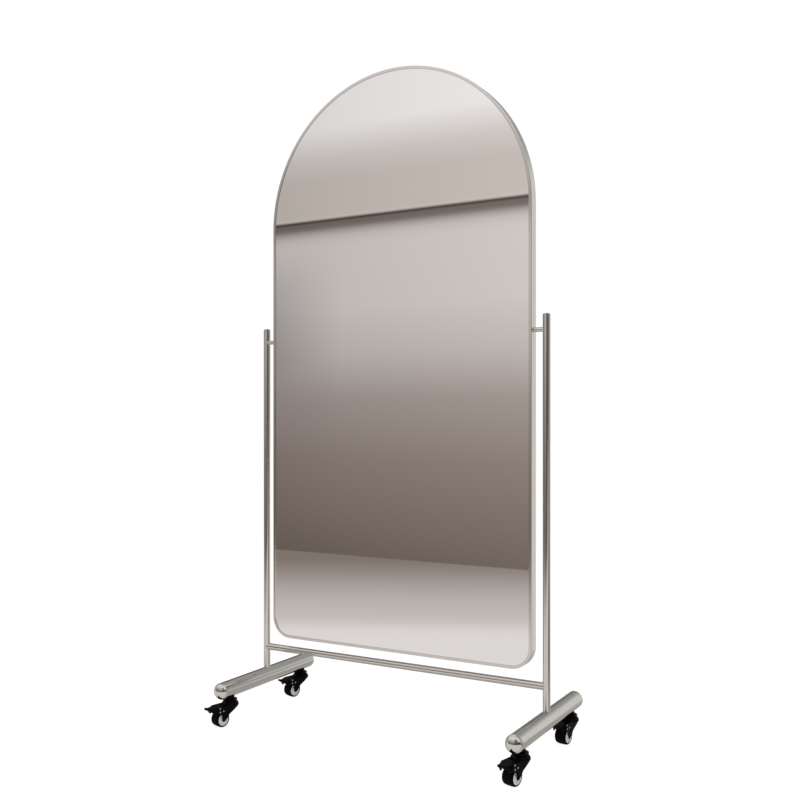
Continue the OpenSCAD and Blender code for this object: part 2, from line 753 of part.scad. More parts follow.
foot_tube(-1);  // left_foot_tube
foot_tube(1);  // right_foot_tube
foot_cap(-1, -1);  // left_front_cap
foot_cap(-1, 1);  // left_rear_cap
foot_cap(1, -1);  // right_front_cap
foot_cap(1, 1);  // right_rear_cap
post(-1);  // left_post
post(1);  // right_post
cross_rail();
post_cap(-1);  // left_post_cap
post_cap(1);  // right_post_cap
pivot_bush(-1);  // left_pivot_bush
pivot_bush(1);  // right_pivot_bush
post_plugs();
post_bolts();
saddle_washers();
caster_weld_nuts();
caster_stems();
caster_collars();
caster_race_cups();
swivel_balls();
mirror_frame();
frame_joiner();
mirror_glass();
glass_tape();
back_board();
pivot_block(-1);  // left_pivot_block
pivot_block(1);  // right_pivot_block
pivot_pin(-1);  // left_pivot_pin
pivot_pin(1);  // right_pivot_pin
frame_screws();
fork(-1, -1);  // front_left_fork
axle(-1, -1);  // front_left_axle
fork_pins(-1, -1);  // front_left_fork_pins
tyre(-1, -1);  // front_left_tyre
hub(-1, -1);  // front_left_hub
brake_pedal(-1, -1);  // front_left_brake_pedal
brake_plate(-1, -1);  // front_left_brake_plate
fork(1, -1);  // front_right_fork
axle(1, -1);  // front_right_axle
fork_pins(1, -1);  // front_right_fork_pins
tyre(1, -1);  // front_right_tyre
hub(1, -1);  // front_right_hub
brake_pedal(1, -1);  // front_right_brake_pedal
brake_plate(1, -1);  // front_right_brake_plate
fork(-1, 1);  // rear_left_fork
axle(-1, 1);  // rear_left_axle
fork_pins(-1, 1);  // rear_left_fork_pins
tyre(-1, 1);  // rear_left_tyre
hub(-1, 1);  // rear_left_hub
brake_pedal(-1, 1);  // rear_left_brake_pedal
brake_plate(-1, 1);  // rear_left_brake_plate
fork(1, 1);  // rear_right_fork
axle(1, 1);  // rear_right_axle
fork_pins(1, 1);  // rear_right_fork_pins
tyre(1, 1);  // rear_right_tyre
hub(1, 1);  // rear_right_hub
brake_pedal(1, 1);  // rear_right_brake_pedal
brake_plate(1, 1);  // rear_right_brake_plate
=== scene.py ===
# Looks of the rolling full-length mirror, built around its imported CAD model.
# Blender works in metres here, with +Z up and the glass facing -Y.
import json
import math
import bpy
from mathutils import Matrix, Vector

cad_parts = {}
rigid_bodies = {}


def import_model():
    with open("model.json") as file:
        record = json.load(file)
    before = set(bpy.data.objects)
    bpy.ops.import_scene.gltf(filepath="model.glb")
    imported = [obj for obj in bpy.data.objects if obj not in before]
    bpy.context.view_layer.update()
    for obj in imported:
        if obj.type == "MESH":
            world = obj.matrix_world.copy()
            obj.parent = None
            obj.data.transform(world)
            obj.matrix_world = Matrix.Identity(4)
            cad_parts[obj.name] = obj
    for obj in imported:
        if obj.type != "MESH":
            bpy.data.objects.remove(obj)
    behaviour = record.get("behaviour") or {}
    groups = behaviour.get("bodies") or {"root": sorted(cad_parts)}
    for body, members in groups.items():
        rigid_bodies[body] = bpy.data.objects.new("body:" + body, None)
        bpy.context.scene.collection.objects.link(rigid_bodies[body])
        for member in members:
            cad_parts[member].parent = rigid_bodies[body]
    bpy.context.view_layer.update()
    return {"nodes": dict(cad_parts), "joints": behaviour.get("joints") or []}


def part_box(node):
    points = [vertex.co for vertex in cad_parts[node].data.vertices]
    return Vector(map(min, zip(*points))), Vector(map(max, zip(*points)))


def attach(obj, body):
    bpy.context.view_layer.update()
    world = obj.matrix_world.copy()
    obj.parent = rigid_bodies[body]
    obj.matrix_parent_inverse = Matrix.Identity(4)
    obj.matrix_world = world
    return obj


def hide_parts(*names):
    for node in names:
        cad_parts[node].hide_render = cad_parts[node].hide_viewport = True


bl_info = {
    "name": "Rolling full-length mirror",
    "version": (1, 0, 0),
    "blender": (4, 5, 0),
    "location": "3D View > Sidebar > Mirror",
    "description": "Builds the visible pieces, finishes and studio of a tilting mirror on casters",
    "category": "Object",
}

import bmesh
import bpy
from bpy.props import FloatProperty, FloatVectorProperty, IntProperty, PointerProperty
from bpy.types import Operator, Panel, PropertyGroup
from mathutils import Matrix, Vector

for leftover in list(bpy.data.objects):
    bpy.data.objects.remove(leftover)
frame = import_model()

MM = 0.001
CASTERS = ("front_left", "front_right", "rear_left", "rear_right")
# Points this close to each other count as one, and CAD points this close to a face count as on it.
WELD = 0.002 * MM
ON_FACE = 0.01 * MM
FRAME_LOW, FRAME_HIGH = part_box("mirror_frame")
GLASS_LOW, GLASS_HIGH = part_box("mirror_glass")
BOARD_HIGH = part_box("back_board")[1]
SCREWS_LOW, SCREWS_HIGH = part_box("frame_screws")
POST_LOW, POST_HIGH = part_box("right_post")
PANEL_RADIUS = FRAME_HIGH.x
METAL = 1.0
NOT_METAL = 0.0
# Sockets of a Mix node that blends colours.
MIX_SHARE = 0
MIX_FIRST = 6
MIX_SECOND = 7
MIX_RESULT = 2
POST_X = (POST_LOW.x + POST_HIGH.x) / 2


def linear_colour(code):
    """Turns an sRGB hex colour into the linear values that Blender works with"""
    values = []
    for start in (1, 3, 5):
        value = int(code[start:start + 2], 16) / 255
        values.append(value / 12.92 if value <= 0.04045 else ((value + 0.055) / 1.055) ** 2.4)
    return values


def colour(name, description, code):
    """A colour property with its default given as an sRGB hex value"""
    return FloatVectorProperty(
        name=name, description=description, default=linear_colour(code), subtype="COLOR", min=0, max=1
    )


def length(name, description, default):
    """A length property in metres"""
    return FloatProperty(name=name, description=description, default=default, unit="LENGTH", min=0)


def brightness(name, description, default):
    """A share of the full brightness"""
    return FloatProperty(name=name, description=description, default=default, min=0, max=1)


class MirrorSizes(PropertyGroup):
    """Sizes of the visible detail that the CAD model leaves square"""

    corner_radius: length("Corner radius", "Radius of the panel's two lower corners", 57 * MM)
    lip_width: length("Lip width", "Width of the frame's lip in front of the glass", 8 * MM)
    outer_round: length("Outer round", "Radius of the frame's outer front edge", 1.2 * MM)
    lip_flat: length("Lip flat", "Width of the lip before it slopes towards the glass", 4 * MM)
    lip_slope: length("Lip slope", "Drop of the lip from its flat part to its edge", 0.15 * MM)
    back_round: length("Back round", "Radius of the frame's edges at the back", 0.8 * MM)
    channel_wall: length("Channel wall", "Wall of the frame outside the glass", 2 * MM)
    chamber_width: length("Chamber width", "Width of the hollow rear part of the frame", 16 * MM)
    chamber_wall: length("Chamber wall", "Wall between the chamber and the recess", 1.6 * MM)
    seam: length("Seam", "Hairline of the frame's joint in the middle of the bottom", 0.3 * MM)
    arris: length("Arris", "Width of the ground edge of the glass", 0.6 * MM)
    screw_recess: length("Screw recess", "Depth of the cross recess in a frame screw", 1.1 * MM)
    remesh: length("Remesh size", "Size of the voxels that round the pressed and moulded parts", 0.45 * MM)
    arch_steps: IntProperty(name="Arch steps", description="Segments round the arch", default=180, min=24)


class MirrorColours(PropertyGroup):
    """Colours of the finishes"""

    steel: colour("Stainless steel", "Brushed tubes and frame", "#D8D6D2")
    chrome: colour("Polished steel", "Domed caps of the feet and posts", "#D6D5D2")
    zinc: colour("Zinc", "Bright zinc-plated small parts", "#C9CCD0")
    glass: colour("Silvering", "Silvered glass seen from the front", "#F3F3F3")
    glass_edge: colour("Glass edge", "Ground edge of the glass", "#7FA596")
    board: colour("Hardboard", "Board behind the glass", "#7A5B40")
    tape: colour("Foam tape", "Tape behind the glass", "#3A3A3A")
    coat: colour("Powder coat", "Black coated forks and collars", "#040405")
    plastic: colour("Black plastic", "Brake pedals", "#040404")
    rubber: colour("Rubber", "Tyres", "#050505")
    hub: colour("Grey nylon", "Hubs of the wheels", "#D2D2CF")
    nylon: colour("White nylon", "Pivot bushes", "#C2BFB6")


class StudioSettings(PropertyGroup):
    """Camera and the plain room that the glass shows"""

    camera_x: length("Camera X", "Camera to the right of the mirror's middle", 1.3073)
    camera_back: length("Camera distance", "Camera in front of the tilt axis", 2.2636)
    camera_z: length("Camera height", "Camera above the floor", 0.8466)
    camera_turn: FloatProperty(
        name="Camera turn", description="Camera's turn to the left",
        default=math.radians(29.73), subtype="ANGLE",
    )
    lens: FloatProperty(name="Lens", description="Focal length in millimetres", default=43.45, min=10)
    shift: FloatProperty(name="Shift", description="Upward shift of the view", default=0.02396)
    wall_distance: length("Wall distance", "Reflected wall in front of the glass", 2.82)
    soffit_height: length("Soffit height", "Lower edge of the reflected soffit", 2.105)
    floor: colour("Floor", "Studio floor", "#F4F4F3")
    # The reflected room's colours and brightness shares are painted reflections with the room's light and
    # shade painted into them. They glow on the stage floor and wall, which only glossy surfaces see.
    wall_low: colour("Wall, low", "Reflected wall near the floor", "#72665E")
    wall_middle: colour("Wall, middle", "Reflected wall at the height of the eye", "#8E8079")
    wall_high: colour("Wall, high", "Reflected wall below the soffit", "#D1CBC7")
    soffit: colour("Soffit", "Reflected soffit above the wall", "#C7BEB7")
    soffit_edge: colour("Soffit edge", "Shaded strip below the reflected soffit", "#756B65")
    ceiling: colour("Ceiling", "Bright reflected ceiling", "#EFEBEA")
    floor_far: colour("Floor, far", "Reflected floor beside the wall", "#857A71")
    floor_near: colour("Floor, near", "Reflected floor in front of the mirror", "#E6E1DE")
    floor_shade: brightness("Floor, under", "Reflected floor under the stand", 0.56)
    wedge_shade: brightness("Floor, beside", "Reflected floor to the right of the right post", 0.44)
    wall_shade: brightness("Wall, shadow", "Reflected wall at its left end", 0.69)


# Node helpers

def add_node(tree, kind, inputs=None, **settings):
    """Adds a node, applies its settings, and sets or links its inputs, a node by its first output"""
    node = tree.nodes.new(kind)
    for name, value in settings.items():
        setattr(node, name, value)
    for key, value in (inputs or {}).items():
        if isinstance(value, bpy.types.Node):
            value = value.outputs[0]
        if isinstance(value, bpy.types.NodeSocket):
            tree.links.new(value, node.inputs[key])
        else:
            node.inputs[key].default_value = value
    return node


def new_material(name, base, metallic, roughness, constants=None):
    """A material with one Principled shader, its plain values set on the shader's own sockets"""
    material = bpy.data.materials.new(name)
    material.use_nodes = True
    shader = material.node_tree.nodes["Principled BSDF"]
    values = {"Base Color": (*base, 1), "Metallic": metallic, "Roughness": roughness}
    values.update(constants or {})
    for key, value in values.items():
        shader.inputs[key].default_value = value
    return material, material.node_tree, shader


def scaled(value, factor):
    """The colour made lighter or darker by a factor, as a shader's four values"""
    return (*[min(1, part * factor) for part in value], 1)


def vary(tree, shader, base, tone=None, shine=None, relief=None):
    """Gives a shader its patterns: a tone is (pattern, darker, lighter) in shares of the base colour,
    a shine is (pattern, low, high) in roughness, and a relief is (pattern, depth in metres, strength)"""
    if tone:
        pattern, darker, lighter = tone
        mix = add_node(
            tree, "ShaderNodeMix",
            {MIX_SHARE: pattern, MIX_FIRST: scaled(base, darker), MIX_SECOND: scaled(base, lighter)},
            data_type="RGBA",
        )
        tree.links.new(mix.outputs[MIX_RESULT], shader.inputs["Base Color"])
    if shine:
        pattern, low, high = shine
        spread = add_node(tree, "ShaderNodeMapRange", {"Value": pattern, "To Min": low, "To Max": high})
        tree.links.new(spread.outputs[0], shader.inputs["Roughness"])
    if relief:
        pattern, depth, strength = relief
        raised = add_node(
            tree, "ShaderNodeBump", {"Height": pattern, "Distance": depth, "Strength": strength}
        )
        tree.links.new(raised.outputs[0], shader.inputs["Normal"])


def blotches(tree, width, stretch=(1, 1, 1), source=None, detail=2.0, roughness=0.5):
    """Cloudy pattern of a width in metres, in the piece's own space unless a source is given, and drawn
    out along each axis whose stretch is below 1"""
    if source is None:
        source = add_node(tree, "ShaderNodeTexCoord").outputs["Object"]
    place = add_node(tree, "ShaderNodeMapping", {"Vector": source, "Scale": stretch})
    return add_node(
        tree, "ShaderNodeTexNoise",
        {"Vector": place, "Scale": 1 / width, "Detail": detail, "Roughness": roughness},
    )


# Finishes

SCRATCH_WIDTH = 0.9 * MM
SCRATCH_STRETCH = 0.012


def brushed_stainless(name, base, direction):
    """Stainless steel brushed with a belt along one direction, or along the path of a swept piece"""
    # The belt leaves fine lines along the metal, which spread a reflection into soft bands across it.
    # Real lines are about 0.1 mm apart: they are drawn coarser so that they show.
    material, tree, shader = new_material(name, base, METAL, 0.12, {"Anisotropic": 0.2})
    if direction == "path":
        source = add_node(tree, "ShaderNodeUVMap", uv_map="along")
        stretch = (SCRATCH_STRETCH, 1, 1)
        tangent = add_node(tree, "ShaderNodeTangent", direction_type="UV_MAP", uv_map="along")
    else:
        source = None
        stretch = [SCRATCH_STRETCH if axis == direction else 1 for axis in "XYZ"]
        tangent = add_node(tree, "ShaderNodeTangent", direction_type="RADIAL", axis=direction)
        shader.inputs["Anisotropic Rotation"].default_value = 0.25
    tree.links.new(tangent.outputs[0], shader.inputs["Tangent"])
    lines = blotches(tree, SCRATCH_WIDTH, stretch, source, detail=6, roughness=0.7)
    handling = blotches(tree, 90 * MM, detail=3)
    both = add_node(tree, "ShaderNodeMath", {0: lines, 1: 0.55, 2: handling}, operation="MULTIPLY_ADD")
    vary(
        tree, shader, base,
        tone=(lines, 0.93, 1.05), shine=(both, 0.06, 0.15), relief=(lines, 0.02 * MM, 0.3),
    )
    return material


def polished_steel(base):
    """Stainless steel buffed to a mirror shine"""
    # It shows its surroundings sharply, with a faint haze left by the buffing wheel.
    material, tree, shader = new_material("polished_stainless_steel", base, METAL, 0.06)
    haze = blotches(tree, 14 * MM, detail=4)
    vary(tree, shader, base, tone=(haze, 0.97, 1.02), shine=(haze, 0.035, 0.11))
    return material


def zinc_plate(base):
    """Steel with bright zinc plating"""
    # The plating is a little blue and cloudy, with small dull spots.
    material, tree, shader = new_material("bright_zinc_plate", base, METAL, 0.26)
    cloud = blotches(tree, 4 * MM, detail=3)
    spots = blotches(tree, 0.7 * MM)
    vary(
        tree, shader, base,
        tone=(cloud, 0.86, 1.06), shine=(cloud, 0.2, 0.38), relief=(spots, 0.01 * MM, 0.4),
    )
    return material


def silvered_glass(base):
    """Float glass with silvering on its back"""
    # It gives a sharp reflection with a trace of green, and long faint waves from the float bath.
    material, tree, shader = new_material("silvered_float_glass", base, METAL, 0.012)
    film = blotches(tree, 60 * MM, detail=3)
    waves = blotches(tree, 420 * MM, detail=0)
    vary(tree, shader, base, shine=(film, 0.008, 0.022), relief=(waves, 0.012 * MM, 0.25))
    return material


def cut_glass(base):
    """Ground edge of the float glass, which looks green through its depth"""
    material, tree, shader = new_material("ground_glass_edge", base, NOT_METAL, 0.4)
    grit = blotches(tree, 0.4 * MM)
    vary(tree, shader, base, tone=(grit, 0.8, 1.15), shine=(grit, 0.3, 0.55))
    return material


def foam_tape(base):
    """Closed-cell foam tape: matt, with fine open pores on its cut edge"""
    material, tree, shader = new_material("closed_cell_foam_tape", base, NOT_METAL, 0.9)
    pore_width = 0.8 * MM
    place = add_node(tree, "ShaderNodeTexCoord").outputs["Object"]
    pores = add_node(tree, "ShaderNodeTexVoronoi", {"Vector": place, "Scale": 1 / pore_width})
    vary(tree, shader, base, tone=(pores, 0.7, 1.2), relief=(pores, 0.1 * MM, 1.0))
    return material


def hardboard(base):
    """Pressed hardboard: brown wood fibre with a smooth, slightly mottled face"""
    material, tree, shader = new_material("pressed_hardboard", base, NOT_METAL, 0.62)
    fibre = blotches(tree, 2.2 * MM, (1, 1, 0.35), detail=8, roughness=0.75)
    cloud = blotches(tree, 60 * MM, detail=3)
    both = add_node(tree, "ShaderNodeMath", {0: fibre, 1: 0.6, 2: cloud}, operation="MULTIPLY_ADD")
    vary(
        tree, shader, base,
        tone=(both, 0.62, 1.25), shine=(fibre, 0.5, 0.75), relief=(fibre, 0.06 * MM, 0.6),
    )
    return material


def powder_coat(base):
    """Black powder coat baked on pressed steel"""
    # The baked powder flows into a fine orange peel with a satin shine.
    material, tree, shader = new_material(
        "black_powder_coat", base, NOT_METAL, 0.36, {"Specular IOR Level": 0.06}
    )
    peel = blotches(tree, 1.1 * MM, detail=1)
    dust = blotches(tree, 12 * MM, detail=5, roughness=0.65)
    vary(
        tree, shader, base,
        tone=(dust, 0.75, 1.35), shine=(dust, 0.3, 0.44), relief=(peel, 0.03 * MM, 0.5),
    )
    return material


def moulded_black(base):
    """Black polypropylene from a spark-eroded mould: satin, with a very fine grain"""
    material, tree, shader = new_material(
        "moulded_polypropylene", base, NOT_METAL, 0.42, {"Specular IOR Level": 0.055}
    )
    grain = blotches(tree, 0.5 * MM, detail=3, roughness=0.6)
    worn = blotches(tree, 9 * MM, detail=4)
    vary(
        tree, shader, base,
        tone=(worn, 0.8, 1.4), shine=(grain, 0.35, 0.5), relief=(grain, 0.03 * MM, 0.7),
    )
    return material


def tyre_rubber(base):
    """Soft black rubber: matt, a little greyer where the tread has picked up dust"""
    material, tree, shader = new_material(
        "soft_black_rubber", base, NOT_METAL, 0.72, {"Specular IOR Level": 0.06}
    )
    dust = blotches(tree, 3 * MM, detail=6, roughness=0.7)
    grain = blotches(tree, 0.6 * MM, detail=3)
    vary(
        tree, shader, base,
        tone=(dust, 0.7, 1.6), shine=(dust, 0.62, 0.85), relief=(grain, 0.05 * MM, 0.6),
    )
    return material


def moulded_nylon(name, base):
    """Moulded nylon: pale, slightly waxy, with faint flow marks"""
    material, tree, shader = new_material(name, base, NOT_METAL, 0.38, {"Subsurface Weight": 0.05})
    flow = blotches(tree, 7 * MM, detail=4)
    grain = blotches(tree, 0.9 * MM)
    vary(
        tree, shader, base,
        tone=(flow, 0.93, 1.03), shine=(flow, 0.32, 0.46), relief=(grain, 0.02 * MM, 0.5),
    )
    return material


FINISHES = {}


def make_finishes(colours):
    """Makes every finish once and keeps it under a short name"""
    FINISHES.update({
        "steel_x": brushed_stainless("brushed_stainless_across", colours.steel, "X"),
        "steel_y": brushed_stainless("brushed_stainless_front_to_back", colours.steel, "Y"),
        "steel_z": brushed_stainless("brushed_stainless_upright", colours.steel, "Z"),
        "steel_path": brushed_stainless("brushed_stainless_frame", colours.steel, "path"),
        "chrome": polished_steel(colours.chrome),
        "zinc": zinc_plate(colours.zinc),
        "glass": silvered_glass(colours.glass),
        "glass_edge": cut_glass(colours.glass_edge),
        "tape": foam_tape(colours.tape),
        "board": hardboard(colours.board),
        "coat": powder_coat(colours.coat),
        "plastic": moulded_black(colours.plastic),
        "rubber": tyre_rubber(colours.rubber),
        "hub": moulded_nylon("light_grey_nylon", colours.hub),
        "nylon": moulded_nylon("white_nylon", colours.nylon),
    })


# Mesh helpers

def mesh_from(name, bm):
    """Turns a bmesh into a mesh, and frees it"""
    mesh = bpy.data.meshes.new(name)
    bm.to_mesh(mesh)
    bm.free()
    return mesh


def add_object(name, data):
    """A new object in the scene"""
    item = bpy.data.objects.new(name, data)
    bpy.context.scene.collection.objects.link(item)
    return item


def add_modifier(piece, kind, **settings):
    """Adds a modifier with its settings"""
    modifier = piece.modifiers.new(kind.lower(), kind)
    for name, value in settings.items():
        setattr(modifier, name, value)


def apply_modifiers(piece):
    """Replaces a piece's mesh by what its modifiers make of it"""
    graph = bpy.context.evaluated_depsgraph_get()
    made = bpy.data.meshes.new_from_object(piece.evaluated_get(graph))
    piece.modifiers.clear()
    piece.data = made


def finish_node(node, finish):
    """Gives a CAD node that stays in view one of the finishes"""
    data = frame["nodes"][node].data
    data.materials.clear()
    data.materials.append(FINISHES[finish])


def add_mesh(name, mesh, finishes, body, node, slot, place=None, sharp=30):
    """Makes an object of a mesh, rides it on its body and hides the CAD node it stands for"""
    mesh.shade_smooth()
    mesh.set_sharp_from_angle(angle=math.radians(sharp))
    if not mesh.materials:
        for finish in finishes:
            mesh.materials.append(FINISHES[finish])
    piece = add_object(name, mesh)
    if place is not None:
        piece.matrix_world = place
    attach(piece, body)
    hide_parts(node)
    return piece


def add_piece(name, bm, *details, **options):
    """The same for a bmesh, once its doubled vertices are joined and its faces look outwards"""
    bmesh.ops.remove_doubles(bm, verts=bm.verts, dist=WELD)
    bmesh.ops.recalc_face_normals(bm, faces=bm.faces)
    return add_mesh(name, mesh_from(name, bm), *details, **options)


def corners_of(spots):
    """Lowest and highest corner of a set of points"""
    low = Vector([min(spot[i] for spot in spots) for i in range(3)])
    high = Vector([max(spot[i] for spot in spots) for i in range(3)])
    return low, high


def gather(spots, reach):
    """Lowest and highest corner of each group of points, where a group is all within reach of its first"""
    groups = []
    for spot in spots:
        near = [group for group in groups if (group[0] - spot).length < reach]
        if near:
            near[0].append(spot)
        else:
            groups.append([spot])
    return [corners_of(group) for group in groups]


def arc(centre, radius, start, end, steps):
    """Points on an arc, from one angle to another in degrees"""
    points = []
    for step in range(steps + 1):
        angle = math.radians(start + (end - start) * step / steps)
        points.append((centre[0] + radius * math.cos(angle), centre[1] + radius * math.sin(angle)))
    return points


def dome(radius, low, high, steps):
    """Points of a domed head's profile, from its edge at a low height to its middle at a high one"""
    points = []
    for step in range(steps):
        angle = math.pi / 2 * step / steps
        points.append((radius * math.cos(angle), low + (high - low) * math.sin(angle)))
    return points + [(0, high)]


def mirrored(profile):
    """A profile of (radius, height) seen in the plane of height zero, in the opposite order"""
    return [(radius, -height) for radius, height in reversed(profile)]


def join_rings(bm, low, high):
    """Faces between two rings of vertices, which are triangles where a ring is a single point"""
    faces = []
    for i in range(len(low)):
        j = (i + 1) % len(low)
        corners = dict.fromkeys((low[i], low[j], high[j], high[i]))
        faces.append(bm.faces.new(tuple(corners)))
    return faces


def turn_profile(bm, profile, segments, place=Matrix(), closed=False):
    """Turns a profile of (radius, height) about the Z axis of a place, and closes it on the axis"""
    rings = []
    for radius, height in profile:
        if radius < WELD:
            rings.append([bm.verts.new(place @ Vector((0, 0, height)))] * segments)
            continue
        ring = []
        for i in range(segments):
            angle = 2 * math.pi * i / segments
            point = Vector((radius * math.cos(angle), radius * math.sin(angle), height))
            ring.append(bm.verts.new(place @ point))
        rings.append(ring)
    if closed:
        rings.append(rings[0])
    for low, high in zip(rings, rings[1:]):
        join_rings(bm, low, high)


def add_slab(bm, outline, place, low, high):
    """A slab of a plan outline, between two heights of a place"""
    rings = []
    for height in (low, high):
        rings.append([bm.verts.new(place @ Vector((a, b, height))) for a, b in outline])
        bm.faces.new(rings[-1])
    join_rings(bm, *rings)


def panel_path(sizes, inset=0.0):
    """Points of the panel's outline with their outward directions and distances along it,
    from one side of the seam in the middle of the bottom round to the other"""
    half = PANEL_RADIUS
    corner = sizes.corner_radius
    low = FRAME_LOW.z
    spring = FRAME_HIGH.z - half
    side_steps = 12
    corner_steps = 24
    samples = []

    def add_line(start, end, normal, steps):
        for step in range(steps):
            samples.append((start.lerp(end, step / steps), normal))

    def add_arc(centre, radius, start, end, steps):
        for step in range(steps):
            angle = math.radians(start + (end - start) * step / steps)
            normal = Vector((math.cos(angle), math.sin(angle)))
            samples.append((centre + radius * normal, normal))

    right = Vector((1, 0))
    left = Vector((-1, 0))
    down = Vector((0, -1))
    start = Vector((sizes.seam / 2, low))
    add_line(start, Vector((half - corner, low)), down, side_steps)
    add_arc(Vector((half - corner, low + corner)), corner, -90, 0, corner_steps)
    add_line(Vector((half, low + corner)), Vector((half, spring)), right, side_steps)
    add_arc(Vector((0, spring)), half, 0, 180, sizes.arch_steps)
    add_line(Vector((-half, spring)), Vector((-half, low + corner)), left, side_steps)
    add_arc(Vector((corner - half, low + corner)), corner, 180, 270, corner_steps)
    end = Vector((-sizes.seam / 2, low))
    add_line(Vector((corner - half, low)), end, down, side_steps)
    samples.append((end, down))
    path = []
    travelled = 0.0
    for index, (point, normal) in enumerate(samples):
        if index:
            travelled += (point - samples[index - 1][0]).length
        path.append((point - normal * inset, normal, travelled))
    return path


def frame_sections(sizes):
    """The frame's cut section as two loops of (inset, y): its outside, and the hollow chamber"""
    front = FRAME_LOW.y
    back = FRAME_HIGH.y
    outer = sizes.outer_round
    edge = sizes.back_round
    lip = sizes.lip_width
    wall = sizes.channel_wall
    rim = sizes.chamber_width
    bevel = 0.3 * MM
    edge_y = front + sizes.lip_slope
    outside = arc((outer, front + outer), outer, 180, 270, steps=10)
    outside += [(sizes.lip_flat, front), (lip - bevel, edge_y), (lip, edge_y + bevel), (lip, GLASS_LOW.y)]
    outside += [(wall, GLASS_LOW.y), (wall, BOARD_HIGH.y), (rim, BOARD_HIGH.y)]
    outside += arc((rim - edge, back - edge), edge, 0, 90, steps=9)
    outside += arc((edge, back - edge), edge, 90, 180, steps=9)
    shell = sizes.chamber_wall
    hollow = [
        (wall, BOARD_HIGH.y + shell), (rim - shell, BOARD_HIGH.y + shell),
        (rim - shell, back - shell), (wall, back - shell),
    ]
    return outside, hollow


def sweep_loop(bm, path, loop, layer):
    """Carries a closed section loop along the panel's path and returns its two open end rings"""
    rings = []
    for point, normal, _ in path:
        ring = []
        for inset, y in loop:
            spot = point - normal * inset
            ring.append(bm.verts.new((spot.x, y, spot.y)))
        rings.append(ring)
    across = [0.0]
    for index, spot in enumerate(loop):
        after = loop[(index + 1) % len(loop)]
        across.append(across[-1] + math.dist(spot, after))
    count = len(loop)
    for index in range(len(rings) - 1):
        for i in range(count):
            j = (i + 1) % count
            face = bm.faces.new((rings[index][i], rings[index + 1][i], rings[index + 1][j], rings[index][j]))
            places = ((index, i), (index + 1, i), (index + 1, i + 1), (index, i + 1))
            for corner, (along, over) in zip(face.loops, places):
                corner[layer].uv = (path[along][2], across[over])
    return rings[0], rings[-1]


def build_frame(sizes):
    """Bent frame: rounded front lip, glass channel and hollow chamber, butted at the bottom"""
    bm = bmesh.new()
    layer = bm.loops.layers.uv.new("along")
    path = panel_path(sizes)
    ends = {0: [], 1: []}
    for loop in frame_sections(sizes):
        for which, ring in enumerate(sweep_loop(bm, path, loop, layer)):
            for i, vertex in enumerate(ring):
                ends[which].append(bm.edges.get((vertex, ring[(i + 1) % len(ring)])))
    for edges in ends.values():
        bmesh.ops.triangle_fill(bm, use_beauty=True, use_dissolve=False, edges=edges)
    add_piece("frame_profile", bm, ["steel_path"], "mirror", "mirror_frame", "brushed_steel", sharp=11)


def build_glass(sizes):
    """Silvered pane with a ground arris all round"""
    edge = GLASS_LOW.x - FRAME_LOW.x
    arris = sizes.arris
    steps = (
        (edge + arris, GLASS_LOW.y), (edge, GLASS_LOW.y + arris),
        (edge, GLASS_HIGH.y - arris), (edge + arris, GLASS_HIGH.y),
    )
    bm = bmesh.new()
    rings = []
    for inset, y in steps:
        spots = [point for point, _, _ in panel_path(sizes, inset)][:-1]
        rings.append([bm.verts.new((spot.x, y, spot.y)) for spot in spots])
    bm.faces.new(rings[0])
    ground = [bm.faces.new(rings[-1])]
    for low, high in zip(rings, rings[1:]):
        ground += join_rings(bm, low, high)
    for face in ground:
        face.material_index = 1
    add_piece(
        "silvered_pane", bm, ["glass", "glass_edge"], "mirror", "mirror_glass", "silvered_glass", sharp=20
    )


def cut_recess(piece, cutter_bm):
    """Cuts a recess into a piece with a cutter mesh that is then thrown away"""
    bmesh.ops.recalc_face_normals(cutter_bm, faces=cutter_bm.faces)
    cutter = add_object("recess_cutter", mesh_from("recess_cutter", cutter_bm))
    add_modifier(piece, "BOOLEAN", operation="DIFFERENCE", solver="EXACT", object=cutter)
    apply_modifiers(piece)
    bpy.data.objects.remove(cutter)


def screw_places():
    """Middles of the frame screws' heads on the back of the frame, read from the CAD node"""
    data = frame["nodes"]["frame_screws"].data
    top = [v.co for v in data.vertices if v.co.y > SCREWS_HIGH.y - ON_FACE]
    return [(low + high) / 2 for low, high in gather(top, reach=8 * MM)]


def build_screws(sizes):
    """Pan-head screws with a cross recess, in the back of the frame"""
    head_r = 3.5 * MM
    shank_r = 1.6 * MM
    wing = 1.9 * MM
    thick = 0.5 * MM
    tip_r = 0.4 * shank_r
    point = 1.5 * MM
    head_low = FRAME_HIGH.y
    head_h = SCREWS_HIGH.y - head_low
    shank = head_low - SCREWS_LOW.y
    profile = [(0, -shank), (tip_r, -shank), (shank_r, point - shank), (shank_r, 0), (head_r, 0)]
    profile += dome(head_r, 0.45 * head_h, head_h, steps=8)
    cross = [
        (wing, thick), (thick, thick), (thick, wing), (-thick, wing), (-thick, thick), (-wing, thick),
        (-wing, -thick), (-thick, -thick), (-thick, -wing), (thick, -wing), (thick, -thick), (wing, -thick),
    ]
    bm = bmesh.new()
    cutter = bmesh.new()
    # Each screw stopped at an angle of its own, so the crosses turn with the place along the frame.
    turn_per_metre = 9
    for middle in screw_places():
        place = Matrix.Translation((middle.x, head_low, middle.z)) @ Matrix.Rotation(-math.pi / 2, 4, "X")
        turn_profile(bm, profile, segments=32, place=place)
        turned = place @ Matrix.Rotation(middle.x * turn_per_metre, 4, "Z")
        add_slab(cutter, cross, turned, head_h - sizes.screw_recess, head_h + 1 * MM)
    piece = add_piece("pan_head_screws", bm, ["zinc"], "mirror", "frame_screws", "zinc_steel")
    cut_recess(piece, cutter)


# Casters

